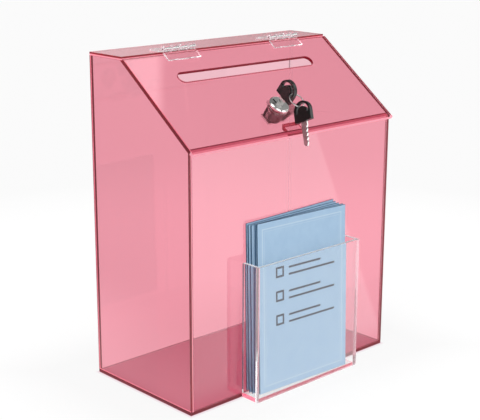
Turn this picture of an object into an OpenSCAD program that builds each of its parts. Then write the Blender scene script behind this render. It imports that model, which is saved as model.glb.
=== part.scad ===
// Ballot box of coloured sheet with a hinged, sloping lid, a cam lock with two keys,
// a slot for the cards and a clear pocket of cards on the front.
// Millimetres. X runs right along the width, the front faces -Y, Z is up.
// The origin is the centre of the underside of the case.

/* [Case] */
// outer width of the case
case_w = 250; // [220:1:300]
// outer depth of the case
case_d = 132; // [120:1:160]
// height at the top strip
case_h = 300; // [260:1:340]
// height of the lid's outer plane where it meets the front face
front_h = 234; // [210:1:245]
// depth of the flat top strip
strip_d = 45; // [35:1:55]
// thickness of every panel
sheet_t = 3; // [2.5:0.1:4]
// how far the lid's lower edge stands past the front face, along the slope
lip = 6; // [3:0.5:10]

/* [Card slot] */
// length of the slot in the lid
slot_w = 165; // [120:1:190]
// width of the slot along the slope
slot_gap = 11.6; // [6:0.2:16]
// distance from the joint line to the middle of the slot
slot_s = 31.6; // [28:0.2:40]

/* [Hinges] */
// width of each hinge
hinge_w = 37; // [30:1:45]
// middle of the left hinge
left_hinge_x = -62; // [-80:1:-40]
// middle of the right hinge
right_hinge_x = 67; // [40:1:80]
// thickness of the hinge leaves
leaf_t = 1.6; // [1.2:0.1:2]
// reach of the upper leaf behind the joint line
top_leaf = 17; // [12:0.5:22]
// reach of the lower leaf down the lid
lid_leaf = 11.3; // [9:0.1:14]
// radius of the hinge knuckles
barrel_r = 2.5; // [2.2:0.1:3]
// radius of the hinge pins
pin_r = 0.8; // [0.6:0.1:1]

/* [Lock] */
// distance from the lock up the slope from the front face
lock_front = 29.2; // [28:0.1:34]
// diameter of the lock's face
face_d = 19.4; // [19:0.1:22]
// how far the face stands out of the lid
face_t = 3; // [2.5:0.1:4]
// diameter of the lock's barrel
barrel_d = 16; // [15:0.1:17]
// length of the barrel below the lid's outer face
barrel_len = 16; // [14:0.5:20]
// radius of the turning plug
plug_r = 6.2; // [5.8:0.1:6.5]
// width of the cam
cam_w = 12; // [10:0.5:14]
// reach of the cam from the lock's axis
cam_reach = 30; // [28:0.5:34]

/* [Keys] */
// width of a key's head
head_w = 18.8; // [16:0.1:20]
// height of a key's head
head_h = 18.3; // [16:0.1:20]
// thickness of a key's head
head_t = 3.6; // [3:0.1:4]
// height of the head above the lid when the key is in the lock
key_lift = 10.2; // [8:0.1:12]
// length of a key's blade
blade_len = 22; // [20:0.5:24]
// thickness of a key's blade
blade_t = 1.6; // [1.4:0.1:2]
// width of a key's blade
blade_w = 6.4; // [5.6:0.1:7]
// radius of the curved hole's middle line in a key's head
hole_r = 6.1; // [5.5:0.1:6.3]
// radius of the key ring's middle line
ring_r = 7.2; // [6.8:0.1:8]
// thickness of the key ring's wire
wire_d = 1.1; // [1:0.1:1.2]

/* [Pocket and cards] */
// outer width of the pocket
pocket_w = 130; // [126:1:150]
// outer depth of the pocket
pocket_d = 20; // [19:0.5:30]
// height of the pocket
pocket_h = 125; // [90:1:150]
// width of a card
card_w = 110; // [90:1:114]
// height of a card
card_h = 155; // [130:1:170]
// thickness of a card
card_t = 1.2; // [0.8:0.1:1.3]

/* [Hidden] */
$fn = 96;
// gap under the lid and at its upper edge
lid_gap = 0.2;
joint_gap = 0.4;
// radial gap of the turning pins and of the plug
pin_gap = 0.05;
// gap between hinge knuckles and between a leaf and a knuckle
knuckle_gap = 0.3;
// gap of the key in its keyway and of the cam on its square
slide_gap = 0.15;
joint_y = case_d / 2 - strip_d;
front_y = -case_d / 2;
slope = atan2(case_h - front_h, case_d - strip_d);
slope_len = norm([case_h - front_h, case_d - strip_d]);
side_x = case_w / 2;
inner_w = case_w - 2 * sheet_t;
// lid frame: Y up the slope, Z out of the lid, origin on the joint line
axis_h = barrel_r + 0.1;
axis_back = axis_h * tan(slope / 2);
leaf_start = barrel_r + knuckle_gap + 0.05;
knuckle_w = (hinge_w - 3 * knuckle_gap) / 4;
lid_start = (sheet_t * sin(slope) + joint_gap) / cos(slope);
lid_len = slope_len + lip;
lock_s = slope_len - lock_front;
// the sloping edge of the side panels lies this far below the lid's outer plane
edge_k = sheet_t + lid_gap;
edge_drop = edge_k / cos(slope);
strip_z = case_h - sheet_t;
edge_y = joint_y + (edge_drop - sheet_t) / tan(slope);
lock_r = barrel_d / 2;
face_bevel = 1.1;
face_flat_r = face_d / 2 - face_bevel;
disc_r = face_flat_r - 0.3;
disc_t = 1;
disc_gap = 0.1;
mark_w = 1.7;
mark_len = 5.5;
mark_t = 0.6;
nut_t = 2.5;
cam_t = 2;
cam_z = -barrel_len - lid_gap;
cam_end_z = -sheet_t - nut_t - 3;
cam_tail = 8;
cam_flat = 10.5;
cam_run = 5.5;
cam_skew = 1.2;
square_w = 6;
washer_r = 5.2;
washer_t = 0.8;
screw_r = 1.5;
screw_head_r = 3.6;
screw_head_t = 2;
screw_len = 3.5;
// the strike block hangs this far under the lid, behind the front panel
block_gap = 0.3;
block_t = 4.7;
block_w = 19;
block_d = 7;
head_r = head_w / 2;
head_straight = head_h - head_r;
hole_half = 1.4;
tang_w = 5;
tang_h = 5;
// where the ring passes through the first key's hole, and where the spare hangs on it
ring_at = 78;
ring_tilt = 5;
spare_at = -13;
spare_hole_at = -31;
spare_turn = [-21, -60, -80];
pocket_in_w = pocket_w - 2 * sheet_t;
pocket_in_d = pocket_d - sheet_t;
// the cards, from the front: sideways place and roll as shares of the free room, and lift
card_room = (pocket_in_w - card_w) / 2;
card_side = [-0.36, -0.31, -0.43, -0.54, -0.6];
card_roll = [0.23, 0.14, -0.15, -0.3, -0.38];
card_lift = [0.9, 1, 1.1, 2, 3.5];
card_turn = 0.3;
front_card_gap = 2.4;
rear_card_gap = 1.4;
last_card = len(card_side) - 1;
card_step = (pocket_in_d - front_card_gap - rear_card_gap) / last_card;
card_top_step = 1.8;

// frames
module on_lid() {
    translate([0, joint_y, case_h])
        rotate([slope, 0, 0])
            children();
}

module on_lock() {
    on_lid()
        translate([0, -lock_s, 0])
            children();
}

module on_ring() {
    on_lock()
        translate([0, 0, key_lift + head_straight])
            rotate([ring_at, 0, 0])
                translate([0, 0, hole_r])
                    rotate([ring_tilt - ring_at, 0, 0])
                        translate([0, -ring_r, 0])
                            children();
}

module on_spare() {
    on_ring()
        rotate([0, 0, spare_at])
            translate([0, -ring_r, 0])
                rotate([0, 0, -spare_at])
                    rotate([-ring_tilt, 0, 0])
                        rotate(spare_turn)
                            rotate([0, spare_hole_at, 0])
                                translate([0, 0, -hole_r])
                                    rotate([0, -spare_hole_at, 0])
                                        translate([0, 0, -head_straight])
                                            children();
}

// a flat sheet that stands in the YZ plane
module standing(points, x, t) {
    translate([x, 0, 0])
        rotate([90, 0, 90])
            linear_extrude(t)
                polygon(points);
}

// case
module bottom_panel() {
    color("pink")
        translate([-side_x, front_y, 0])
            cube([case_w, case_d, sheet_t]);
}

module side_panel(x) {
    top_y = case_d / 2;
    front_top = strip_z + (front_y - edge_y) * tan(slope);
    standing([[front_y, sheet_t], [top_y, sheet_t], [top_y, strip_z], [edge_y, strip_z],
        [front_y, front_top]], x, sheet_t);
}

module left_side_panel() {
    color("pink")
        side_panel(-side_x);
}

module right_side_panel() {
    color("pink")
        side_panel(side_x - sheet_t);
}

module front_panel() {
    back_y = front_y + sheet_t;
    z_front = strip_z + (front_y - edge_y) * tan(slope);
    z_back = strip_z + (back_y - edge_y) * tan(slope);
    color("pink")
        standing([[front_y, sheet_t], [back_y, sheet_t], [back_y, z_back], [front_y, z_front]],
            -inner_w / 2, inner_w);
}

module back_panel() {
    color("pink")
        translate([-inner_w / 2, case_d / 2 - sheet_t, sheet_t])
            cube([inner_w, sheet_t, strip_z - sheet_t]);
}

module top_strip() {
    color("pink")
        translate([-side_x, joint_y, strip_z])
            cube([case_w, strip_d, sheet_t]);
}

// the block under the lid that the cam turns behind
module strike_block() {
    top_y = front_y + sheet_t;
    top_z = strip_z + (top_y - edge_y) * tan(slope) - block_gap;
    end_z = top_z + block_d * tan(slope);
    color("pink")
        standing([[top_y, top_z - block_t], [top_y + block_d, end_z - block_t],
            [top_y + block_d, end_z], [top_y, top_z]], -block_w / 2, block_w);
}

// pocket
module pocket_front_wall() {
    color("lightcyan")
        translate([-pocket_w / 2, front_y - pocket_d, 0])
            cube([pocket_w, sheet_t, pocket_h]);
}

module pocket_side(x) {
    translate([x, front_y - pocket_d + sheet_t, 0])
        cube([sheet_t, pocket_d - sheet_t, pocket_h]);
}

module pocket_left_wall() {
    color("lightcyan")
        pocket_side(-pocket_w / 2);
}

module pocket_right_wall() {
    color("lightcyan")
        pocket_side(pocket_w / 2 - sheet_t);
}

module pocket_base() {
    color("lightcyan")
        translate([-pocket_in_w / 2, front_y - pocket_d + sheet_t, 0])
            cube([pocket_in_w, pocket_d - sheet_t, sheet_t]);
}

// hinges, drawn about the pin's axis with the leaf's flat face at -axis_h
module knuckle(k, bore_r) {
    translate([-hinge_w / 2 + k * (knuckle_w + knuckle_gap), 0, 0])
        difference() {
            union() {
                rotate([0, 90, 0])
                    cylinder(r = barrel_r, h = knuckle_w);
                translate([0, 0, -axis_h])
                    cube([knuckle_w, leaf_start + 0.5, leaf_t]);
            }
            translate([-1, 0, 0])
                rotate([0, 90, 0])
                    cylinder(r = bore_r, h = knuckle_w + 2);
        }
}

module leaf(first, reach, bore_r) {
    knuckle(first, bore_r);
    knuckle(first + 2, bore_r);
    translate([-hinge_w / 2, leaf_start, -axis_h])
        cube([hinge_w, reach - leaf_start, leaf_t]);
}

module top_leaf_at(x) {
    translate([x, joint_y - axis_back, case_h + axis_h])
        leaf(0, top_leaf + axis_back, pin_r);
}

module lid_leaf_at(x) {
    on_lid()
        translate([x, axis_back, axis_h])
            mirror([0, 1, 0])
                leaf(1, lid_leaf + axis_back, pin_r + pin_gap);
}

module pin_at(x) {
    translate([x - hinge_w / 2, joint_y - axis_back, case_h + axis_h])
        rotate([0, 90, 0])
            cylinder(r = pin_r, h = hinge_w);
}

module left_hinge_top_leaf() {
    color("white")
        top_leaf_at(left_hinge_x);
}

module right_hinge_top_leaf() {
    color("white")
        top_leaf_at(right_hinge_x);
}

module left_hinge_pin() {
    color("silver")
        pin_at(left_hinge_x);
}

module right_hinge_pin() {
    color("silver")
        pin_at(right_hinge_x);
}

module left_hinge_lid_leaf() {
    color("white")
        lid_leaf_at(left_hinge_x);
}

module right_hinge_lid_leaf() {
    color("white")
        lid_leaf_at(right_hinge_x);
}

// lid
module lid_panel() {
    end_x = slot_w / 2 - slot_gap / 2;
    color("pink")
        on_lid()
            difference() {
                translate([-side_x, -lid_len, -sheet_t])
                    cube([case_w, lid_len - lid_start, sheet_t]);
                translate([-end_x, -slot_s - slot_gap / 2, -sheet_t - 1])
                    cube([2 * end_x, slot_gap, sheet_t + 2]);
                for (side = [-1, 1])
                    translate([side * end_x, -slot_s, -sheet_t - 1])
                        cylinder(d = slot_gap, h = sheet_t + 2);
                translate([0, -lock_s, -sheet_t - 1])
                    cylinder(r = lock_r + 2 * pin_gap, h = sheet_t + 2);
            }
}

// lock
module lock_body() {
    color("silver")
        on_lock()
            difference() {
                union() {
                    cylinder(d = face_d, h = face_t - face_bevel);
                    translate([0, 0, face_t - face_bevel])
                        cylinder(r1 = face_d / 2, r2 = face_flat_r, h = face_bevel);
                    translate([0, 0, -barrel_len])
                        cylinder(r = lock_r, h = barrel_len);
                }
                translate([0, 0, face_t - disc_t - disc_gap])
                    cylinder(r = disc_r + pin_gap, h = disc_t + 1);
                translate([0, 0, -barrel_len - 1])
                    cylinder(r = plug_r + pin_gap, h = barrel_len + face_t + 1);
            }
}

module lock_nut() {
    color("silver")
        on_lock()
            translate([0, 0, -sheet_t - nut_t])
                difference() {
                    cylinder(d = barrel_d + 6, h = nut_t, $fn = 6);
                    translate([0, 0, -1])
                        cylinder(r = lock_r + pin_gap, h = nut_t + 2);
                }
}

module lock_plug() {
    keyway_t = blade_t + 2 * slide_gap;
    keyway_w = blade_w + 2 * slide_gap;
    color("silver")
        on_lock()
            difference() {
                union() {
                    translate([0, 0, face_t - disc_t])
                        cylinder(r = disc_r, h = disc_t);
                    translate([0, 0, -barrel_len])
                        cylinder(r = plug_r, h = barrel_len + face_t - disc_t);
                    translate([-square_w / 2, -square_w / 2, cam_z - cam_t])
                        cube([square_w, square_w, cam_t + 2 * lid_gap]);
                }
                translate([-keyway_t / 2, -keyway_w / 2, key_lift - blade_len - lid_gap])
                    cube([keyway_t, keyway_w, blade_len]);
                translate([-4.5, 1, face_t - mark_t])
                    cube([mark_w, mark_len, 1]);
                translate([0, 0, cam_z - cam_t - 1])
                    cylinder(r = screw_r + pin_gap, h = screw_len + 1);
            }
}

module cam() {
    color("silver")
        on_lock()
            difference() {
                translate([0, cam_w / 2, 0])
                    rotate([90, 0, 0])
                        linear_extrude(cam_w)
                            polygon([[-cam_tail, cam_z], [cam_flat, cam_z],
                                [cam_flat + cam_run, cam_end_z], [cam_reach, cam_end_z],
                                [cam_reach, cam_end_z - cam_t],
                                [cam_flat + cam_run + cam_skew, cam_end_z - cam_t],
                                [cam_flat + cam_skew, cam_z - cam_t], [-cam_tail, cam_z - cam_t]]);
                translate([-square_w / 2 - slide_gap, -square_w / 2 - slide_gap, cam_z - cam_t - 1])
                    cube([square_w + 2 * slide_gap, square_w + 2 * slide_gap, cam_t + 2]);
            }
}

module cam_washer() {
    color("silver")
        on_lock()
            translate([0, 0, cam_z - cam_t - washer_t])
                difference() {
                    cylinder(r = washer_r, h = washer_t);
                    translate([0, 0, -1])
                        cylinder(r = screw_r + 2 * pin_gap, h = washer_t + 2);
                }
}

module cam_screw() {
    under_z = cam_z - cam_t - washer_t;
    color("silver")
        on_lock()
            difference() {
                union() {
                    translate([0, 0, under_z - screw_head_t])
                        cylinder(r1 = 3, r2 = screw_head_r, h = screw_head_t);
                    translate([0, 0, under_z - 0.2])
                        cylinder(r = screw_r, h = screw_len);
                }
                translate([-4, -0.4, under_z - screw_head_t - 0.2])
                    cube([8, 0.8, 0.9]);
            }
}

// keys, drawn with the head's lower edge on the origin and the blade pointing down
module head_outline() {
    translate([-head_r, 0])
        square([head_w, head_straight]);
    translate([0, head_straight])
        circle(r = head_r);
}

// the curved hole, a half ring with round ends
module head_hole() {
    translate([0, head_straight])
        intersection() {
            difference() {
                circle(r = hole_r + hole_half);
                circle(r = hole_r - hole_half);
            }
            translate([-head_w, 0])
                square([2 * head_w, head_w]);
        }
    for (side = [-1, 1])
        translate([side * hole_r, head_straight])
            circle(r = hole_half);
}

module head() {
    difference() {
        translate([0, head_t / 2, 0])
            rotate([90, 0, 0])
                linear_extrude(head_t)
                    difference() {
                        head_outline();
                        head_hole();
                    }
        translate([-tang_w / 2, -blade_t / 2, -1])
            cube([tang_w, blade_t, tang_h + 1]);
    }
}

// the blade has its cuts on the right, each [depth of the cut, distance from the head]
module blade() {
    cuts = [[0, 4], [1.2, 5.6], [0.5, 7.4], [1.8, 9.4], [0.8, 11.2], [2, 13.2], [1, 15],
        [2.2, 17], [1.5, 19]];
    edge = blade_w / 2;
    tip = 1.6;
    translate([0, blade_t / 2, 0])
        rotate([90, 0, 0])
            linear_extrude(blade_t)
                polygon(concat([[-tang_w / 2, tang_h], [tang_w / 2, tang_h], [tang_w / 2, 0],
                    [edge, 0]], [for (c = cuts) [edge - c[0], -c[1]]],
                    [[0.4, -blade_len], [-tip, -blade_len], [-edge, 1.5 * tip - blade_len],
                    [-edge, 0], [-tang_w / 2, 0]]));
}

module key_head() {
    color("black")
        on_lock()
            translate([0, 0, key_lift])
                rotate([0, 0, 90])
                    head();
}

module key_blade() {
    color("silver")
        on_lock()
            translate([0, 0, key_lift])
                rotate([0, 0, 90])
                    blade();
}

module key_ring() {
    color("silver")
        on_ring()
            rotate_extrude()
                translate([ring_r, 0])
                    circle(d = wire_d);
}

module spare_key_head() {
    color("black")
        on_spare()
            head();
}

module spare_key_blade() {
    color("silver")
        on_spare()
            blade();
}

// cards, counted from the front, fanned out towards the top of the pocket
module card(number) {
    k = last_card - number + 1;
    lean = k * atan((card_step - card_top_step) / card_h);
    roll = atan(card_roll[number - 1] * card_room / pocket_h);
    side = card_side[number - 1] * card_room;
    color("lightblue")
        translate([side, front_y - rear_card_gap - k * card_step, sheet_t + card_lift[number - 1]])
            rotate([0, 0, -k * card_turn])
                rotate([-lean, 0, 0])
                    rotate([0, roll, 0])
                        translate([-card_w / 2, -card_t / 2, 0])
                            cube([card_w, card_t, card_h]);
}

module ballot_card_1() {
    card(1);
}

module ballot_card_2() {
    card(2);
}

module ballot_card_3() {
    card(3);
}

module ballot_card_4() {
    card(4);
}

module ballot_card_5() {
    card(5);
}

bottom_panel();
left_side_panel();
right_side_panel();
front_panel();
back_panel();
top_strip();
strike_block();
pocket_front_wall();
pocket_left_wall();
pocket_right_wall();
pocket_base();
left_hinge_top_leaf();
right_hinge_top_leaf();
left_hinge_pin();
right_hinge_pin();
lid_panel();
left_hinge_lid_leaf();
right_hinge_lid_leaf();
lock_body();
lock_nut();
lock_plug();
cam();
cam_washer();
cam_screw();
key_head();
key_blade();
key_ring();
spare_key_head();
spare_key_blade();
ballot_card_1();
ballot_card_2();
ballot_card_3();
ballot_card_4();
ballot_card_5();
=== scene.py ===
"""Dresses the ballot box for the picture: see-through sheet, lock, keys, printed cards, room and camera."""
import math

import bmesh
import bpy
from mathutils import Matrix, Vector


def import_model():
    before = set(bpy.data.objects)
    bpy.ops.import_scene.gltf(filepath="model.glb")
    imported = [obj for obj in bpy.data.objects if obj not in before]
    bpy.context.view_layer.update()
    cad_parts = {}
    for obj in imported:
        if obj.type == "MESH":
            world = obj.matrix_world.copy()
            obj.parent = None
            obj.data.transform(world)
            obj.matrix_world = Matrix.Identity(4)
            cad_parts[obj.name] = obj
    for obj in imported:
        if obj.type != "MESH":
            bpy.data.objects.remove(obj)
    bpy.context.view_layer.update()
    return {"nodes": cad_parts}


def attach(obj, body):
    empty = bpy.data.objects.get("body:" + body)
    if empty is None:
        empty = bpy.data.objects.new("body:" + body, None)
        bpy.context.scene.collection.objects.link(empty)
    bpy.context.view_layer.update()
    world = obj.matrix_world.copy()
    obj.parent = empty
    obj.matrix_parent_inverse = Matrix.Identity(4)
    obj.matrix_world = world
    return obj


MM = 0.001

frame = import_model()
nodes = frame["nodes"]

# the case, as the source has it
CASE_W = 250 * MM
CASE_D = 132 * MM
CASE_H = 300 * MM
FRONT_H = 234 * MM
STRIP_D = 45 * MM
SHEET_T = 3 * MM
JOINT_Y = CASE_D / 2 - STRIP_D
SLOPE = math.atan2(CASE_H - FRONT_H, CASE_D - STRIP_D)
# the lock's middle, from the front end of the slope and from the joint line down the lid
LOCK_FROM_FRONT = 29.2 * MM
LOCK_DOWN = (CASE_H - FRONT_H) / math.sin(SLOPE) - LOCK_FROM_FRONT

X_AXIS = (1, 0, 0)
Y_AXIS = (0, 1, 0)
Z_AXIS = (0, 0, 1)
DOWN = (0, 0, -1)
FORWARD = (0, -1, 0)
OUT_OF_LID = (0, -math.sin(SLOPE), math.cos(SLOPE))
DOWN_THE_LID = (0, -math.cos(SLOPE), -math.sin(SLOPE))
# the height of the lid's upper face, measured out of the lid
LID_TOP = CASE_H * math.cos(SLOPE) - JOINT_Y * math.sin(SLOPE)

WHITE = (1, 1, 1)
NO_LIGHT = (0, 0, 0)
# painted glow for the ends of a sheet that catch light
END_PAINTED_GLOW_PINK = (0.82, 0.30, 0.38)
END_PAINTED_GLOW_RED = (0.45, 0.085, 0.135)
# farther out than any point of the box
BEYOND = 1.0
# how far in from its outer face a sheet's end with a painted bright glow, or its plain end, reaches
LEFT_BRIGHT = 1.8 * MM
FRONT_BRIGHT_DOWN = 9 * MM
FRONT_BRIGHT_IN = 1.9 * MM
STRIP_BRIGHT = 1.6 * MM
BLOCK_PLAIN = 0.5 * MM
# from where along the sheet its end has a painted bright glow or is plain
LIP_BRIGHT_FROM = -86 * MM
RIGHT_PLAIN_FROM = 30 * MM
BACK_PLAIN_FROM = 0.0


def cut_ends(axis, past=(0, 0, 0), limit=BEYOND, rim=BEYOND, end_glow=NO_LIGHT):
    """How a sheet shows its cut ends.

    axis: the way its broad faces look.
    past, limit: a direction, and how far along it an end stops being dark.
    rim: the height along the axis from which it is dark all the same.
    end_glow: the painted glow put on an end that isn't dark, standing in for the light that gathers there.
    Without one it looks like the sheet itself.
    """
    return axis, past, limit, rim, end_glow


SHEETS = {
    "left": cut_ends(X_AXIS, X_AXIS, -CASE_W / 2 + LEFT_BRIGHT, end_glow=END_PAINTED_GLOW_PINK),
    "right": cut_ends(X_AXIS, Y_AXIS, RIGHT_PLAIN_FROM),
    "front": cut_ends(Y_AXIS, Z_AXIS, FRONT_H - FRONT_BRIGHT_DOWN, -CASE_D / 2 + FRONT_BRIGHT_IN, END_PAINTED_GLOW_RED),
    "back": cut_ends(Y_AXIS, X_AXIS, BACK_PLAIN_FROM),
    "strip": cut_ends(Z_AXIS, DOWN, -CASE_H + STRIP_BRIGHT, end_glow=END_PAINTED_GLOW_PINK),
    "lid": cut_ends(OUT_OF_LID, DOWN_THE_LID, LIP_BRIGHT_FROM, end_glow=END_PAINTED_GLOW_PINK),
    "block": cut_ends(OUT_OF_LID, Z_AXIS, FRONT_H - BLOCK_PLAIN),
    "across": cut_ends(X_AXIS),
    "upright": cut_ends(Y_AXIS),
    "flat": cut_ends(Z_AXIS),
    "base": cut_ends(Z_AXIS),
    "sloping": cut_ends(OUT_OF_LID),
}
# each piece with its kind of sheet
TINTED_NODES = {
    "bottom_panel": "flat",
    "left_side_panel": "left",
    "right_side_panel": "right",
    "front_panel": "front",
    "back_panel": "back",
    "top_strip": "strip",
    "lid_panel": "lid",
    "strike_block": "block",
}
CLEAR_NODES = {
    "pocket_front_wall": "upright",
    "pocket_left_wall": "across",
    "pocket_right_wall": "across",
    "pocket_base": "base",
    "left_hinge_top_leaf": "flat",
    "right_hinge_top_leaf": "flat",
    "left_hinge_lid_leaf": "sloping",
    "right_hinge_lid_leaf": "sloping",
}

SHEET_IOR = 1.49
# faint marks of handling: their size, the mean roughness and its spread
MARK_SCALE = 60.0
MARK_ROUGH = 0.01
MARK_SPREAD = 0.03
# a face that looks less than this along the axis of its sheet is a cut end
BROAD_FACE = 0.97
# the dark base under the painted glow of a lit end
PAINTED_GLOW_END_BASE = (0.1, 0.1, 0.1)
TINT = (0.97, 0.06, 0.26)
TINT_DENSITY = 160.0
BLOCK_DENSITY = 60.0
# a tinted cut edge: a dark base with a painted burgundy glow
TINTED_EDGE = (0.1, 0.02, 0.04)
TINTED_PAINTED_GLOW = (0.115, 0.0, 0.008)
TINTED_EDGE_ROUGH = 0.45
CLEAR_TINT = (0.8, 0.88, 0.9)
CLEAR_DENSITY = 4.0
# a clear cut edge: a white base with a faint painted glow
CLEAR_EDGE = (0.97, 0.98, 0.98)
CLEAR_PAINTED_GLOW = (0.035, 0.026, 0.029)
CLEAR_EDGE_ROUGH = 0.04
# painted reflection of the pink case, with a painted glow, on the cut edges of the clear pocket base
POCKET_BASE_PAINTED_REFLECTION = (0.6, 0.2, 0.28)
POCKET_BASE_PAINTED_GLOW = (0.2, 0.03, 0.05)
PLASTIC_IOR = 1.5
NYLON_COLOUR = (0.97, 0.93, 0.92)
NYLON_ALPHA = 0.3
NYLON_ROUGH = 0.5
NYLON_SPREAD = 0.15
NYLON_GRAIN = 500.0

# the lock's nickel: its bright rim, the brushed flat face and the barrel under the lid
NICKEL_BRIGHT = (0.80, 0.79, 0.77)
NICKEL_FACE = (0.47, 0.465, 0.455)
BARREL_GREY = (0.22, 0.19, 0.19)
BARREL_ROUGH = 0.45
RIM_ROUGH = 0.16
BRUSHED_ROUGH = 0.3
# cosines from which the face counts as flat, and heights over the lid between which a mark is sunk into it
# and painted black as its shade
FACE_FLAT = (0.97, 0.995)
FACE_SUNK = (2.8 * MM, 2.5 * MM)
FACE_START = 0.2 * MM
PAINTED_HOLE_SHADE = (0.01, 0.01, 0.01)
LOCK_GRAIN = 700.0
LOCK_SPREAD = 0.12
LOCK_BUMP = 0.1
LOCK_BUMP_H = 0.05 * MM
# small punched dots on the face, painted black as the shade in them, in the lid's own axes, and their radii
FACE_DOTS = [
    ((3.4 * MM, -74.7 * MM, 3 * MM), 0.5 * MM),
    ((-0.7 * MM, -83.2 * MM, 3 * MM), 0.45 * MM),
]
KEY_BLACK = (0.003, 0.0045, 0.004)
KEY_ROUGH = 0.32
KEY_SPREAD = 0.12
KEY_GRAIN = 1400.0
KEY_BUMP = 0.2
KEY_BUMP_H = 0.08 * MM
# the other metals: colour, roughness, its spread and the grain's scale
STEEL = ((0.62, 0.61, 0.6), 0.3, 0.15, 900.0)
ZINC = ((0.93, 0.9, 0.89), 0.4, 0.1, 600.0)
DULL_THREAD = ((0.34, 0.3, 0.3), 0.4, 0.15, 900.0)
METAL_BUMP = 0.15
METAL_BUMP_H = 0.1 * MM

# the cards, as the source has them; the lists run from the front card to the rear one
CARD_COUNT = 5
POCKET_H = 125 * MM
CARD_W = 110 * MM
CARD_H = 155 * MM
CARD_ROOM = 7 * MM
CARD_REAR_GAP = 1.4 * MM
CARD_STEP = 3.3 * MM
CARD_TOP_STEP = 1.8 * MM
CARD_TURN = math.radians(0.3)
CARD_SIDE = [-0.36, -0.31, -0.43, -0.54, -0.6]
CARD_ROLL = [0.23, 0.14, -0.15, -0.3, -0.38]
CARD_LIFT = [0.9 * MM, 1 * MM, 1.1 * MM, 2 * MM, 3.5 * MM]

# their colours and print
CARD_BLUE = (0.341, 0.508, 0.697)
CARD_PALE = (0.373, 0.541, 0.721)
CARD_BORDER = (0.49, 0.63, 0.76)
# painted shade on the cards' cut edges
CARD_PAINTED_SHADE_EDGE = (0.02, 0.09, 0.18)
CARD_INK = (0.012, 0.017, 0.05)
CARD_ROUGH = 0.55
CARD_SPREAD = 0.2
MOTTLE_SCALE = 90.0
MOTTLE_STEP = (0.3, 0.7)
FIBRE_SCALE = 2200.0
FIBRE_BUMP = 0.12
FIBRE_BUMP_H = 0.08 * MM
# a card's face that looks more than this along its axis is its front or back
BROAD_CARD = 0.8
BORDER_INSET = 5.8 * MM
BORDER_LINE = 1.1 * MM
THIN_INSET = BORDER_INSET + 2.2 * MM
THIN_LINE = 0.5 * MM
THIN_SHARE = 0.6
INK_LINE = 1.9 * MM
INK_ROWS = [108 * MM, 86 * MM, 64 * MM]
BOX_X = -30 * MM
BOX_HALF = 4 * MM
# each ruled line's height above its row, its middle and its half length
RULES = [(-4 * MM, 10 * MM, 29 * MM), (2.5 * MM, 1 * MM, 20 * MM)]

# the thread on the lock's barrel
THREAD_STEPS = 40
THREAD_TURNS = 6
THREAD_ROOT = 7.9 * MM
THREAD_CREST = 8.35 * MM
THREAD_HALF = 0.55 * MM
THREAD_START = -15.2 * MM
THREAD_PITCH = 1.45 * MM

# the gap left between glued pieces, and the widths of rounded edges
GAP = 0.02 * MM
WELD = 0.005 * MM
BEVEL_SEGMENTS = 2
BEVEL_ANGLE = math.radians(30)
SHEET_ROUND = 0.25 * MM
HIDDEN_ROUND = 0.05 * MM
BLOCK_ROUND = 0.1 * MM
CLEAR_ROUND = 0.3 * MM
NUT_ROUND = 0.2 * MM
LOCK_ROUND = 0.12 * MM
KEY_ROUND = 0.5 * MM
CARD_ROUND = 0.1 * MM

# the floor, and how bright it is painted to rays through the sheet and mirrored in it
FLOOR_HALF = 6.0
FLOOR_DROP = 0.2 * MM
FLOOR_COLOUR = (0.85, 0.85, 0.85)
FLOOR_ROUGH = 0.9
FLOOR_GLOW_SHARE = 0.85
FLOOR_CAMERA_SHARE = 0.9
FLOOR_BEHIND = 1.06
# painted shade near the case and far from it
FLOOR_EDGE = 0.93
FLOOR_EDGE_REACH = 0.12
FLOOR_FAR = 0.89
FLOOR_FAR_FROM = 0.45
FLOOR_FAR_TO = 1.0
# painted light and shade in the zones that the sheet mirrors
FLOOR_BEFORE = 2.6
FLOOR_SECOND = 0.25
FLOOR_DEEP = 0.95
FLOOR_LEFT_NEAR = 1.4
FLOOR_LEFT = 0.35
FLOOR_LEFT_REACH = 0.2
# painted pink shadow under the case
FLOOR_UNDER = 0.68
UNDER_PAINTED_SHADOW = (0.76, 0.36, 0.5)
UNDER_SOFT = 4 * MM
# the zones' borders: how soft they are, and the slant and the shift of those that run with the view
BEFORE_SOFT = 50 * MM
BEFORE_SIDE_SOFT = 10 * MM
LEFT_SOFT = 20 * MM
LEFT_SHIFT = 0.12
MIRROR_SLANT = 1.068
LEFT_SLANT = 1.35
# a ray's depth above this means at least once
ONCE = 0.5
# how often a ray has gone through a face: the left zone is for fewer, the second and deep levels for more
LEFT_DEPTH = 2.5
SECOND_DEPTH = 1.5
DEEP_DEPTH = 3.5

# the world: its brightness between two heights, and the height up to which it is white through the sheet
WORLD_HORIZON = 0.36
WORLD_TOP = 0.2
WORLD_HEIGHTS = (0.15, 0.7)
WHITE_HEIGHTS = (0.08, 0.2)
# direction, cosine of the soft edge, cosine of the core, strength
SOFTBOXES = [
    ((-0.62, -0.08, 0.757), 0.92, 0.975, 3.0),
    ((0.0, -0.95, 0.3), 0.72, 0.92, 1.5),
    ((0.75, -0.45, 0.5), 0.93, 0.975, 2.0),
    ((0.35, 0.93, 0.14), 0.92, 0.97, 0.2),
    ((0.5, 0.86, 0.14), 0.9, 0.97, 0.15),
]
# a bright window that the lid mirrors at its left end, with one straight side
WINDOW_SIDE = (0.772, -0.1853, -0.6081)
WINDOW_EDGE = 0.004
WINDOW_SOFT = 0.012
WINDOW_TOWARDS = (0.605, 0.06, 0.794)
WINDOW_COSINES = (0.98, 0.998)
WINDOW_LEVEL = 1.7

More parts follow.
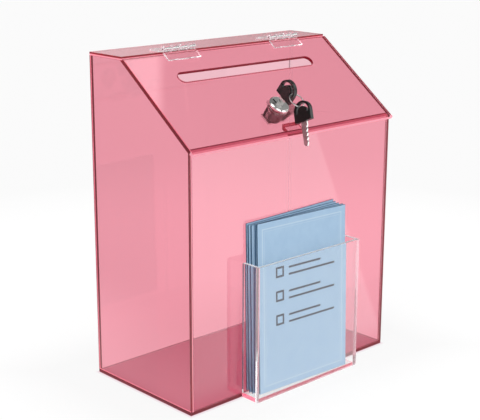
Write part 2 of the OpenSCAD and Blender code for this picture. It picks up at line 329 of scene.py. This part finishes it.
# the camera, from the fit of the case's corners
PICTURE_W = 480
PICTURE_H = 420
FOCAL_PX = 1158.64
CENTRE_PX = (237.78, 212.60)
SENSOR = 36.0
CAMERA_AZIMUTH = math.radians(-43.061)
CAMERA_ELEVATION = math.radians(15.338)
CAMERA_ROLL = math.radians(0.146)
CAMERA_PLACE = Vector((-719.56, -760.18, 431.97)) * MM
CAMERA_FAR = 50.0
BOUNCES = 40


def lid_matrix():
    """The lid's own axes: Y up the slope, Z out of the lid, origin on the joint line."""
    return Matrix.Translation((0, JOINT_Y, CASE_H)) @ Matrix.Rotation(SLOPE, 4, "X")


# shader helpers
def join(tree, source, target):
    tree.links.new(source, target)


def feed(tree, socket, value):
    """Gives an input a link or plain numbers; a plain colour gets an alpha of 1."""
    if isinstance(value, bpy.types.NodeSocket):
        join(tree, value, socket)
    elif socket.type == "RGBA":
        socket.default_value = (*value, 1)
    else:
        socket.default_value = value


def node(tree, kind, **values):
    """A shader node with its inputs given by name."""
    made = tree.nodes.new("ShaderNode" + kind)
    for name, value in values.items():
        feed(tree, made.inputs[name.replace("_", " ")], value)
    return made


def math_node(tree, operation, *values):
    made = node(tree, "Math")
    made.operation = operation
    for socket, value in zip(made.inputs, values):
        feed(tree, socket, value)
    return made.outputs[0]


def vector_node(tree, operation, *values):
    made = node(tree, "VectorMath")
    made.operation = operation
    for socket, value in zip(made.inputs, values):
        feed(tree, socket, value)
    return made.outputs["Value"]


def along(tree, vector, axis):
    return vector_node(tree, "DOT_PRODUCT", vector, axis)


def product(tree, *values):
    """The product of two or more values."""
    result = values[0]
    for value in values[1:]:
        result = math_node(tree, "MULTIPLY", result, value)
    return result


def smooth_step(tree, value, start, end, low, high):
    made = node(tree, "MapRange")
    made.interpolation_type = "SMOOTHSTEP"
    feed(tree, made.inputs["Value"], value)
    for name, number in (("From Min", start), ("From Max", end), ("To Min", low), ("To Max", high)):
        made.inputs[name].default_value = number
    return made.outputs["Result"]


def ramp(tree, value, start, end):
    """A soft step from 0 to 1."""
    return smooth_step(tree, value, start, end, 0.0, 1.0)


def mixed(tree, data_type, share, first, second):
    """first where share is 0 and second where it is 1."""
    made = node(tree, "Mix")
    made.data_type = data_type
    for label, value in (("Factor", share), ("A", first), ("B", second)):
        feed(tree, made.inputs[label], value)
    return made.outputs["Result"]


def blend(tree, share, first, second):
    return mixed(tree, "FLOAT", share, first, second)


def colour_mix(tree, share, first, second):
    return mixed(tree, "RGBA", share, first, second)


def mix_shaders(tree, share, first, second):
    mix = node(tree, "MixShader")
    for socket, value in zip(mix.inputs, (share, first, second)):
        join(tree, value, socket)
    return mix.outputs[0]


def undiffused(tree, path):
    """1 for rays that no matt surface has scattered yet."""
    return math_node(tree, "LESS_THAN", path.outputs["Diffuse Depth"], ONCE)


def new_material(name, **values):
    """A material with one Principled shader; returns it, its node tree and the shader."""
    material = bpy.data.materials.new(name)
    material.use_nodes = True
    tree = material.node_tree
    tree.nodes.clear()
    output = node(tree, "OutputMaterial")
    shader = node(tree, "BsdfPrincipled", **values)
    join(tree, shader.outputs["BSDF"], output.inputs["Surface"])
    return material, tree, shader


def output_node(tree):
    return tree.get_output_node("CYCLES")


def new_group(name, inputs, outputs):
    """A node group with named sockets: inputs are (name, kind, value) and outputs (name, kind)."""
    group = bpy.data.node_groups.new(name, "ShaderNodeTree")
    for label, kind, value in inputs:
        socket = group.interface.new_socket(label, in_out="INPUT", socket_type="NodeSocket" + kind)
        socket.default_value = value
    for label, kind in outputs:
        group.interface.new_socket(label, in_out="OUTPUT", socket_type="NodeSocket" + kind)
    return group, group.nodes.new("NodeGroupInput"), group.nodes.new("NodeGroupOutput")


def place_group(tree, group, **values):
    made = tree.nodes.new("ShaderNodeGroup")
    made.node_tree = group
    for name, value in values.items():
        feed(tree, made.inputs[name], value)
    return made


def grain(tree, shader, scale, middle, spread):
    """Fine grain on a material: it varies the roughness; the mask is returned."""
    placed = place_group(tree, GRAIN, Scale=scale, Middle=middle, Spread=spread)
    join(tree, placed.outputs["Roughness"], shader.inputs["Roughness"])
    return placed.outputs["Mask"]


def bump(tree, shader, height, strength, distance):
    """Fine unevenness from a mask."""
    made = node(tree, "Bump", Height=height, Strength=strength, Distance=distance)
    join(tree, made.outputs["Normal"], shader.inputs["Normal"])


# shared effects
NOISE_DETAIL = 3.0
NOISE_ROUGH = 0.6


def grain_group():
    """Fine noise over the surface: a mask round 0.5, and a roughness that varies round a middle value."""
    group, given, put = new_group(
        "fine_grain",
        [("Scale", "Float", 900.0), ("Middle", "Float", 0.3), ("Spread", "Float", 0.1)],
        [("Mask", "Float"), ("Roughness", "Float")],
    )
    place = node(group, "TexCoord").outputs["Object"]
    noise = node(group, "TexNoise", Vector=place, Detail=NOISE_DETAIL, Roughness=NOISE_ROUGH)
    join(group, given.outputs["Scale"], noise.inputs["Scale"])
    mask = noise.outputs["Fac"]
    centred = math_node(group, "SUBTRACT", mask, 0.5)
    rough = math_node(group, "MULTIPLY_ADD", centred, given.outputs["Spread"], given.outputs["Middle"])
    join(group, mask, put.inputs["Mask"])
    join(group, rough, put.inputs["Roughness"])
    return group


def edge_group():
    """Where a sheet's cut ends are dark, and where past the limit they get a painted glow or, with Pale 0,
    look like the sheet.
    """
    group, given, put = new_group(
        "cut_edge",
        [("Axis", "Vector", (0, 0, 1)), ("Past", "Vector", (0, 0, 0)), ("Limit", "Float", 1.0),
         ("Rim", "Float", 1.0), ("Pale", "Float", 0.0)],
        [("Dark", "Float"), ("Pale", "Float"), ("Matt", "Float")],
    )
    place = node(group, "TexCoord")
    point = place.outputs["Object"]
    axis = given.outputs["Axis"]
    facing = math_node(group, "ABSOLUTE", along(group, place.outputs["Normal"], axis))
    cut = math_node(group, "LESS_THAN", facing, BROAD_FACE)
    reach = along(group, point, given.outputs["Past"])
    past = math_node(group, "GREATER_THAN", reach, given.outputs["Limit"])
    below = math_node(group, "LESS_THAN", along(group, point, axis), given.outputs["Rim"])
    beyond = product(group, past, below)
    dark = product(group, cut, math_node(group, "SUBTRACT", 1.0, beyond))
    pale = product(group, cut, beyond, given.outputs["Pale"])
    join(group, dark, put.inputs["Dark"])
    join(group, pale, put.inputs["Pale"])
    join(group, math_node(group, "MAXIMUM", dark, pale), put.inputs["Matt"])
    return group


def print_group():
    """What is printed on a card, from the place on it: a pale double border, inked tick boxes and lines."""
    group, given, put = new_group(
        "card_print", [("Place", "Vector", (0, 0, 0))], [("Border", "Float"), ("Ink", "Float")]
    )
    apart = node(group, "SeparateXYZ", Vector=given.outputs["Place"])
    across = apart.outputs["X"]
    up = apart.outputs["Z"]
    from_side = math_node(group, "SUBTRACT", CARD_W / 2, math_node(group, "ABSOLUTE", across))
    from_middle = math_node(group, "ABSOLUTE", math_node(group, "SUBTRACT", up, CARD_H / 2))
    from_end = math_node(group, "SUBTRACT", CARD_H / 2, from_middle)
    inset = math_node(group, "MINIMUM", from_side, from_end)
    wide = math_node(group, "COMPARE", inset, BORDER_INSET, BORDER_LINE / 2)
    thin = math_node(group, "COMPARE", inset, THIN_INSET, THIN_LINE / 2)
    thin = product(group, thin, THIN_SHARE)
    join(group, math_node(group, "MAXIMUM", wide, thin), put.inputs["Border"])
    beside = math_node(group, "ABSOLUTE", math_node(group, "SUBTRACT", across, BOX_X))
    marks = []
    for height in INK_ROWS:
        level = math_node(group, "ABSOLUTE", math_node(group, "SUBTRACT", up, height))
        outline = math_node(group, "MAXIMUM", level, beside)
        marks.append(math_node(group, "COMPARE", outline, BOX_HALF, INK_LINE / 2))
        for drop, middle, half in RULES:
            line = math_node(group, "COMPARE", up, height + drop, INK_LINE / 2)
            reach = math_node(group, "COMPARE", across, middle, half)
            marks.append(product(group, line, reach))
    ink = marks[0]
    for mark in marks[1:]:
        ink = math_node(group, "MAXIMUM", ink, mark)
    join(group, ink, put.inputs["Ink"])
    return group


GRAIN = grain_group()
CUT_EDGE = edge_group()
PRINT = print_group()


# materials
def sheet_material(name, sheet, tint, density, edge_colour, edge_glow, edge_rough):
    """Polished sheet that takes its colour from what it absorbs; its cut edges get a painted glow for the
    light that gathers at them.
    """
    axis, past, limit, rim, end_glow = SHEETS[sheet]
    pale = float(end_glow != NO_LIGHT)
    material, tree, shader = new_material(
        name, Base_Color=WHITE, Roughness=0.0, IOR=SHEET_IOR,
        Transmission_Weight=1.0, Emission_Strength=1.0,
    )
    absorb = node(tree, "VolumeAbsorption", Color=tint, Density=density)
    join(tree, absorb.outputs["Volume"], output_node(tree).inputs["Volume"])
    marks = place_group(tree, GRAIN, Scale=MARK_SCALE, Middle=MARK_ROUGH, Spread=MARK_SPREAD)
    edge = place_group(tree, CUT_EDGE, Axis=axis, Past=past, Limit=limit, Rim=rim, Pale=pale)
    rough = product(tree, edge.outputs["Matt"], edge_rough)
    rough = math_node(tree, "MAXIMUM", rough, marks.outputs["Roughness"])
    join(tree, rough, shader.inputs["Roughness"])
    colour = colour_mix(tree, edge.outputs["Dark"], WHITE, edge_colour)
    colour = colour_mix(tree, edge.outputs["Pale"], colour, PAINTED_GLOW_END_BASE)
    join(tree, colour, shader.inputs["Base Color"])
    # painted glow on the cut ends, standing in for the light that gathers in them
    glow = colour_mix(tree, edge.outputs["Dark"], NO_LIGHT, edge_glow)
    glow = colour_mix(tree, edge.outputs["Pale"], glow, end_glow)
    join(tree, glow, shader.inputs["Emission Color"])
    return material


def tinted_sheet_material(sheet):
    density = BLOCK_DENSITY if sheet == "block" else TINT_DENSITY
    name = "tinted_sheet_" + sheet
    return sheet_material(name, sheet, TINT, density, TINTED_EDGE, TINTED_PAINTED_GLOW, TINTED_EDGE_ROUGH)


def clear_sheet_material(sheet):
    """Clear sheet that scattered light passes straight through, so that it lights the cards behind it."""
    edge_colour, edge_glow = CLEAR_EDGE, CLEAR_PAINTED_GLOW
    # the pocket base's edges carry a painted reflection of the pink case
    if sheet == "base":
        edge_colour, edge_glow = POCKET_BASE_PAINTED_REFLECTION, POCKET_BASE_PAINTED_GLOW
    name = "clear_sheet_" + sheet
    material = sheet_material(
        name, sheet, CLEAR_TINT, CLEAR_DENSITY, edge_colour, edge_glow, CLEAR_EDGE_ROUGH
    )
    tree = material.node_tree
    surface = output_node(tree).inputs["Surface"]
    sheet_look = surface.links[0].from_socket
    path = node(tree, "LightPath")
    scattered = math_node(tree, "GREATER_THAN", path.outputs["Diffuse Depth"], ONCE)
    share = math_node(tree, "MAXIMUM", scattered, path.outputs["Is Shadow Ray"])
    open_air = node(tree, "BsdfTransparent", Color=WHITE)
    join(tree, mix_shaders(tree, share, sheet_look, open_air.outputs[0]), surface)
    return material


def nylon_material():
    """Thin milky nylon that lets most light past, for the lock's nut."""
    material, tree, shader = new_material(
        "nylon", Base_Color=NYLON_COLOUR, Roughness=NYLON_ROUGH, IOR=PLASTIC_IOR, Alpha=NYLON_ALPHA
    )
    grain(tree, shader, NYLON_GRAIN, NYLON_ROUGH, NYLON_SPREAD)
    return material


def metal_material(name, colour, rough, spread, scale):
    """Metal with a fine grain."""
    material, tree, shader = new_material(name, Base_Color=colour, Metallic=1.0, Roughness=rough)
    mask = grain(tree, shader, scale, rough, spread)
    bump(tree, shader, mask, METAL_BUMP, METAL_BUMP_H)
    return material


def key_head_material():
    """Moulded black plastic with a fine grain."""
    material, tree, shader = new_material(
        "black_plastic", Base_Color=KEY_BLACK, Roughness=KEY_ROUGH, IOR=PLASTIC_IOR
    )
    mask = grain(tree, shader, KEY_GRAIN, KEY_ROUGH, KEY_SPREAD)
    bump(tree, shader, mask, KEY_BUMP, KEY_BUMP_H)
    return material


def card_matrix(number):
    """Where a card stands, counted from the front: its lower edge's middle, leaning and turned as drawn."""
    behind = CARD_COUNT - number
    lean = math.atan((CARD_STEP - CARD_TOP_STEP) / CARD_H) * behind
    roll = math.atan(CARD_ROLL[number - 1] * CARD_ROOM / POCKET_H)
    place = Vector((
        CARD_SIDE[number - 1] * CARD_ROOM,
        -CASE_D / 2 - CARD_REAR_GAP - behind * CARD_STEP,
        SHEET_T + CARD_LIFT[number - 1],
    ))
    turned = Matrix.Rotation(-behind * CARD_TURN, 4, "Z") @ Matrix.Rotation(-lean, 4, "X")
    return Matrix.Translation(place) @ turned @ Matrix.Rotation(roll, 4, "Y")


def card_material(number):
    """Blue card with painted shade on its cut edges, a faint mottle, and the print on its front."""
    material, tree, shader = new_material("blue_card_%d" % number, Roughness=CARD_ROUGH, IOR=PLASTIC_IOR)
    place = node(tree, "TexCoord")
    stands = card_matrix(number)
    mapping = node(tree, "Mapping", Vector=place.outputs["Object"])
    mapping.vector_type = "TEXTURE"
    mapping.inputs["Location"].default_value = stands.to_translation()
    mapping.inputs["Rotation"].default_value = stands.to_euler("XYZ")
    printed = place_group(tree, PRINT, Place=mapping.outputs["Vector"])
    mottle = grain(tree, shader, MOTTLE_SCALE, CARD_ROUGH, CARD_SPREAD)
    cloud = ramp(tree, mottle, *MOTTLE_STEP)
    paper = colour_mix(tree, cloud, CARD_BLUE, CARD_PALE)
    forward = along(tree, place.outputs["Normal"], FORWARD)
    front = math_node(tree, "GREATER_THAN", forward, BROAD_CARD)
    paper = colour_mix(tree, product(tree, printed.outputs["Border"], front), paper, CARD_BORDER)
    paper = colour_mix(tree, product(tree, printed.outputs["Ink"], front), paper, CARD_INK)
    # painted shade on the cut edges
    broad = math_node(tree, "GREATER_THAN", math_node(tree, "ABSOLUTE", forward), BROAD_CARD)
    paper = colour_mix(tree, broad, CARD_PAINTED_SHADE_EDGE, paper)
    join(tree, paper, shader.inputs["Base Color"])
    fibre = place_group(tree, GRAIN, Scale=FIBRE_SCALE)
    bump(tree, shader, fibre.outputs["Mask"], FIBRE_BUMP, FIBRE_BUMP_H)
    return material


def lock_material():
    """Bright nickel on the lock's face with painted shade in its sunk mark and dots, and a dull grey barrel
    under the lid.
    """
    material, tree, shader = new_material("nickel_lock", Metallic=1.0)
    place = node(tree, "TexCoord")
    height = along(tree, place.outputs["Object"], OUT_OF_LID)
    face = ramp(tree, height, LID_TOP, LID_TOP + FACE_START)
    facing = along(tree, place.outputs["Normal"], OUT_OF_LID)
    flat = product(tree, face, ramp(tree, facing, *FACE_FLAT))
    colour = colour_mix(tree, face, BARREL_GREY, NICKEL_BRIGHT)
    colour = colour_mix(tree, flat, colour, NICKEL_FACE)
    # painted shade: the sunk mark and the dots are painted black
    sunk = ramp(tree, height, LID_TOP + FACE_SUNK[0], LID_TOP + FACE_SUNK[1])
    mark = product(tree, flat, sunk)
    for place_on_lid, radius in FACE_DOTS:
        middle = lid_matrix() @ Vector(place_on_lid)
        distance = vector_node(tree, "DISTANCE", place.outputs["Object"], middle)
        mark = math_node(tree, "MAXIMUM", mark, math_node(tree, "LESS_THAN", distance, radius))
    colour = colour_mix(tree, mark, colour, PAINTED_HOLE_SHADE)
    join(tree, colour, shader.inputs["Base Color"])
    fine = place_group(tree, GRAIN, Scale=LOCK_GRAIN, Middle=0.0, Spread=LOCK_SPREAD)
    rough = smooth_step(tree, face, 0.0, 1.0, BARREL_ROUGH, RIM_ROUGH)
    rough = math_node(tree, "ADD", rough, product(tree, flat, BRUSHED_ROUGH))
    join(tree, math_node(tree, "ADD", rough, fine.outputs["Roughness"]), shader.inputs["Roughness"])
    bump(tree, shader, fine.outputs["Mask"], LOCK_BUMP, LOCK_BUMP_H)
    return material


# pieces from the CAD, dressed where they are
def dress(name, material, shrink=0.0, round_edge=0.0):
    """Gives a CAD node its material, and by modifiers a hair's gap to its neighbours and round edges."""
    piece = nodes[name]
    piece.data.materials.clear()
    piece.data.materials.append(material)
    if shrink or round_edge:
        weld = piece.modifiers.new("weld", "WELD")
        weld.merge_threshold = WELD
    if shrink:
        gap = piece.modifiers.new("gap", "DISPLACE")
        gap.mid_level = 0.0
        gap.strength = -shrink
    if round_edge:
        edge = piece.modifiers.new("edge", "BEVEL")
        edge.width = round_edge
        edge.segments = BEVEL_SEGMENTS
        edge.limit_method = "ANGLE"
        edge.angle_limit = BEVEL_ANGLE
        edge.harden_normals = True


def dress_sheets():
    """The coloured case and lid, and the clear pocket and hinges."""
    rounds = {"back_panel": HIDDEN_ROUND, "right_side_panel": HIDDEN_ROUND, "strike_block": BLOCK_ROUND}
    for name, sheet in TINTED_NODES.items():
        dress(name, tinted_sheet_material(sheet), GAP, rounds.get(name, SHEET_ROUND))
    clear = {sheet: clear_sheet_material(sheet) for sheet in sorted(set(CLEAR_NODES.values()))}
    for name, sheet in CLEAR_NODES.items():
        dress(name, clear[sheet], GAP, CLEAR_ROUND)


def dress_lock():
    """The lock, its cam and nut, and the hinges' pins."""
    nickel = lock_material()
    for name in ("lock_body", "lock_plug"):
        dress(name, nickel, 0.0, LOCK_ROUND)
    dress("lock_nut", nylon_material(), GAP, NUT_ROUND)
    dress("cam", metal_material("zinc", *ZINC))
    steel = metal_material("steel", *STEEL)
    for name in ("cam_washer", "cam_screw", "key_blade", "spare_key_blade", "key_ring",
                 "left_hinge_pin", "right_hinge_pin"):
        dress(name, steel)
    black = key_head_material()
    for name in ("key_head", "spare_key_head"):
        dress(name, black, 0.0, KEY_ROUND)


def dress_cards():
    """The cards in the pocket; each has its print where it stands."""
    for number in range(1, CARD_COUNT + 1):
        dress("ballot_card_%d" % number, card_material(number), 0.0, CARD_ROUND)


def barrel_thread():
    """The thread on the lock's barrel, a sharp ridge that winds up it from its end to the nut."""
    mesh = bmesh.new()
    rows = []
    for step in range(THREAD_TURNS * THREAD_STEPS + 1):
        angle = math.tau * step / THREAD_STEPS
        height = THREAD_START + THREAD_PITCH * step / THREAD_STEPS
        row = []
        for radius, lift in ((THREAD_ROOT, -THREAD_HALF), (THREAD_CREST, 0.0), (THREAD_ROOT, THREAD_HALF)):
            place = Vector((radius * math.cos(angle), -LOCK_DOWN + radius * math.sin(angle), height + lift))
            row.append(mesh.verts.new(place))
        rows.append(row)
    for first, second in zip(rows, rows[1:]):
        for a, b in ((0, 1), (1, 2), (2, 0)):
            mesh.faces.new((first[a], first[b], second[b], second[a]))
    mesh.faces.new(rows[0])
    mesh.faces.new(reversed(rows[-1]))
    bmesh.ops.recalc_face_normals(mesh, faces=mesh.faces)
    data = bpy.data.meshes.new("barrel_thread")
    mesh.to_mesh(data)
    mesh.free()
    made = bpy.data.objects.new("barrel_thread", data)
    made.matrix_world = lid_matrix()
    bpy.context.collection.objects.link(made)
    data.materials.append(metal_material("dull_thread", *DULL_THREAD))
    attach(made, "lid")


# floor, world and camera
def zone_before(tree, x, y):
    """1 before the case, which the front panel mirrors, as far to the right as the camera's view turns."""
    before = ramp(tree, product(tree, y, -1.0), CASE_D / 2, CASE_D / 2 + BEFORE_SOFT)
    slant = math_node(tree, "MULTIPLY_ADD", x, -MIRROR_SLANT, MIRROR_SLANT * CASE_W / 2 - CASE_D / 2)
    slant = math_node(tree, "SUBTRACT", slant, y)
    return product(tree, before, ramp(tree, slant, -BEFORE_SIDE_SOFT, 0.0))


def zone_left(tree, x, y, passes):
    """1 left of the case, which the left panel mirrors, but 0 for rays that have been through much sheet."""
    left = ramp(tree, product(tree, x, -1.0), CASE_W / 2, CASE_W / 2 + LEFT_SOFT)
    slant = math_node(tree, "MULTIPLY_ADD", x, -LEFT_SLANT, LEFT_SHIFT - LEFT_SLANT * CASE_W / 2)
    slant = math_node(tree, "SUBTRACT", slant, y)
    left = product(tree, left, ramp(tree, slant, -LEFT_SOFT, 0.0))
    return product(tree, left, math_node(tree, "LESS_THAN", passes, LEFT_DEPTH))


def floor_level(tree, path, point, x, y, away):
    """How bright the floor is painted: a painted shade by distance from the case, and painted light in the
    zones that the sheet mirrors.
    """
    passes = path.outputs["Transmission Depth"]
    # painted shade near the case and far from it
    near = smooth_step(tree, away, 0.0, FLOOR_EDGE_REACH, FLOOR_EDGE, 1.0)
    distance = vector_node(tree, "LENGTH", point)
    far = smooth_step(tree, distance, FLOOR_FAR_FROM, FLOOR_FAR_TO, 1.0, FLOOR_FAR)
    behind = product(tree, near, far, FLOOR_BEHIND)
    mirrored = math_node(tree, "GREATER_THAN", path.outputs["Glossy Depth"], ONCE)
    second = math_node(tree, "GREATER_THAN", passes, SECOND_DEPTH)
    deep = math_node(tree, "GREATER_THAN", passes, DEEP_DEPTH)
    # painted light in the zone that the front panel mirrors
    before = blend(tree, second, FLOOR_BEFORE, FLOOR_SECOND)
    before = blend(tree, deep, before, FLOOR_DEEP)
    seen = blend(tree, product(tree, zone_before(tree, x, y), mirrored), behind, before)
    # painted light in the zone that the left panel mirrors
    beside = smooth_step(
        tree, product(tree, x, -1.0), CASE_W / 2, CASE_W / 2 + FLOOR_LEFT_REACH, FLOOR_LEFT_NEAR, FLOOR_LEFT
    )
    seen = blend(tree, product(tree, zone_left(tree, x, y, passes), mirrored), seen, beside)
    return math_node(tree, "MAXIMUM", seen, path.outputs["Is Camera Ray"])


def floor_material():
    """White to the camera and through the sheet, with a painted pink shadow under the box, plain to
    scattered light.
    """
    material, tree, shader = new_material(
        "floor", Base_Color=FLOOR_COLOUR, Roughness=FLOOR_ROUGH, Specular_IOR_Level=0.0
    )
    path = node(tree, "LightPath")
    camera_ray = path.outputs["Is Camera Ray"]
    point = node(tree, "TexCoord").outputs["Object"]
    apart = node(tree, "SeparateXYZ", Vector=point)
    x = apart.outputs["X"]
    y = apart.outputs["Y"]
    across = math_node(tree, "SUBTRACT", math_node(tree, "ABSOLUTE", x), CASE_W / 2)
    back = math_node(tree, "SUBTRACT", math_node(tree, "ABSOLUTE", y), CASE_D / 2)
    away = math_node(tree, "MAXIMUM", across, back)
    outside = ramp(tree, away, -UNDER_SOFT, UNDER_SOFT)
    share = smooth_step(tree, outside, 0.0, 1.0, FLOOR_UNDER, FLOOR_GLOW_SHARE)
    not_camera = math_node(tree, "SUBTRACT", 1.0, camera_ray)
    share = product(tree, share, undiffused(tree, path), not_camera)
    share = math_node(tree, "ADD", share, product(tree, camera_ray, FLOOR_CAMERA_SHARE))
    # painted pink shadow under the case
    tint = colour_mix(tree, outside, UNDER_PAINTED_SHADOW, WHITE)
    level = floor_level(tree, path, point, x, y, away)
    glow = node(tree, "Emission", Color=tint, Strength=level)
    mix = mix_shaders(tree, share, shader.outputs[0], glow.outputs[0])
    join(tree, mix, output_node(tree).inputs["Surface"])
    return material


def floor():
    """A plain pale floor a hair under the box."""
    mesh = bmesh.new()
    bmesh.ops.create_grid(mesh, x_segments=1, y_segments=1, size=FLOOR_HALF)
    data = bpy.data.meshes.new("floor")
    mesh.to_mesh(data)
    mesh.free()
    made = bpy.data.objects.new("floor", data)
    made.location.z = -FLOOR_DROP
    bpy.context.collection.objects.link(made)
    data.materials.append(floor_material())


def world_level(tree, direction, height):
    """A dim room with soft boxes and a window."""
    level = smooth_step(tree, height, *WORLD_HEIGHTS, WORLD_HORIZON, WORLD_TOP)
    for towards, edge, core, strength in SOFTBOXES:
        facing = along(tree, direction, Vector(towards).normalized())
        level = math_node(tree, "ADD", level, smooth_step(tree, facing, edge, core, 0.0, strength))
    window = ramp(tree, along(tree, direction, WINDOW_SIDE), WINDOW_EDGE, WINDOW_EDGE - WINDOW_SOFT)
    middle = ramp(tree, along(tree, direction, WINDOW_TOWARDS), *WINDOW_COSINES)
    return math_node(tree, "ADD", level, product(tree, window, middle, WINDOW_LEVEL))


def world():
    """The room, but white to the camera and low down through the sheet."""
    made = bpy.data.worlds.new("studio")
    bpy.context.scene.world = made
    made.use_nodes = True
    tree = made.node_tree
    tree.nodes.clear()
    output = node(tree, "OutputWorld")
    direction = node(tree, "TexCoord").outputs["Generated"]
    height = node(tree, "SeparateXYZ", Vector=direction).outputs["Z"]
    room = node(tree, "Background", Color=WHITE, Strength=world_level(tree, direction, height))
    white = node(tree, "Background", Color=WHITE, Strength=1.0)
    path = node(tree, "LightPath")
    low = smooth_step(tree, height, *WHITE_HEIGHTS, 1.0, 0.0)
    direct = math_node(tree, "LESS_THAN", path.outputs["Glossy Depth"], ONCE)
    through = product(tree, path.outputs["Is Transmission Ray"], low, undiffused(tree, path), direct)
    share = math_node(tree, "MAXIMUM", path.outputs["Is Camera Ray"], through)
    join(tree, mix_shaders(tree, share, room.outputs[0], white.outputs[0]), output.inputs["Surface"])


def camera():
    """The photograph's view."""
    data = bpy.data.cameras.new("camera")
    data.sensor_width = SENSOR
    data.lens = FOCAL_PX * SENSOR / PICTURE_W
    data.shift_x = (PICTURE_W / 2 - CENTRE_PX[0]) / PICTURE_W
    data.shift_y = (CENTRE_PX[1] - PICTURE_H / 2) / PICTURE_W
    data.clip_end = CAMERA_FAR
    back = Vector((
        math.sin(CAMERA_AZIMUTH) * math.cos(CAMERA_ELEVATION),
        -math.cos(CAMERA_AZIMUTH) * math.cos(CAMERA_ELEVATION),
        math.sin(CAMERA_ELEVATION),
    ))
    right = Vector(Z_AXIS).cross(back).normalized()
    up = back.cross(right)
    right_rolled = math.cos(CAMERA_ROLL) * right + math.sin(CAMERA_ROLL) * up
    up_rolled = math.cos(CAMERA_ROLL) * up - math.sin(CAMERA_ROLL) * right
    turn = Matrix((right_rolled, up_rolled, back)).transposed().to_4x4()
    made = bpy.data.objects.new("camera", data)
    bpy.context.collection.objects.link(made)
    made.matrix_world = Matrix.Translation(CAMERA_PLACE) @ turn
    bpy.context.scene.camera = made


dress_sheets()
dress_lock()
dress_cards()
barrel_thread()
floor()
world()
camera()
cycles = bpy.context.scene.cycles
cycles.max_bounces = BOUNCES
cycles.transmission_bounces = BOUNCES
cycles.glossy_bounces = BOUNCES
bpy.context.scene.view_settings.view_transform = "Standard"
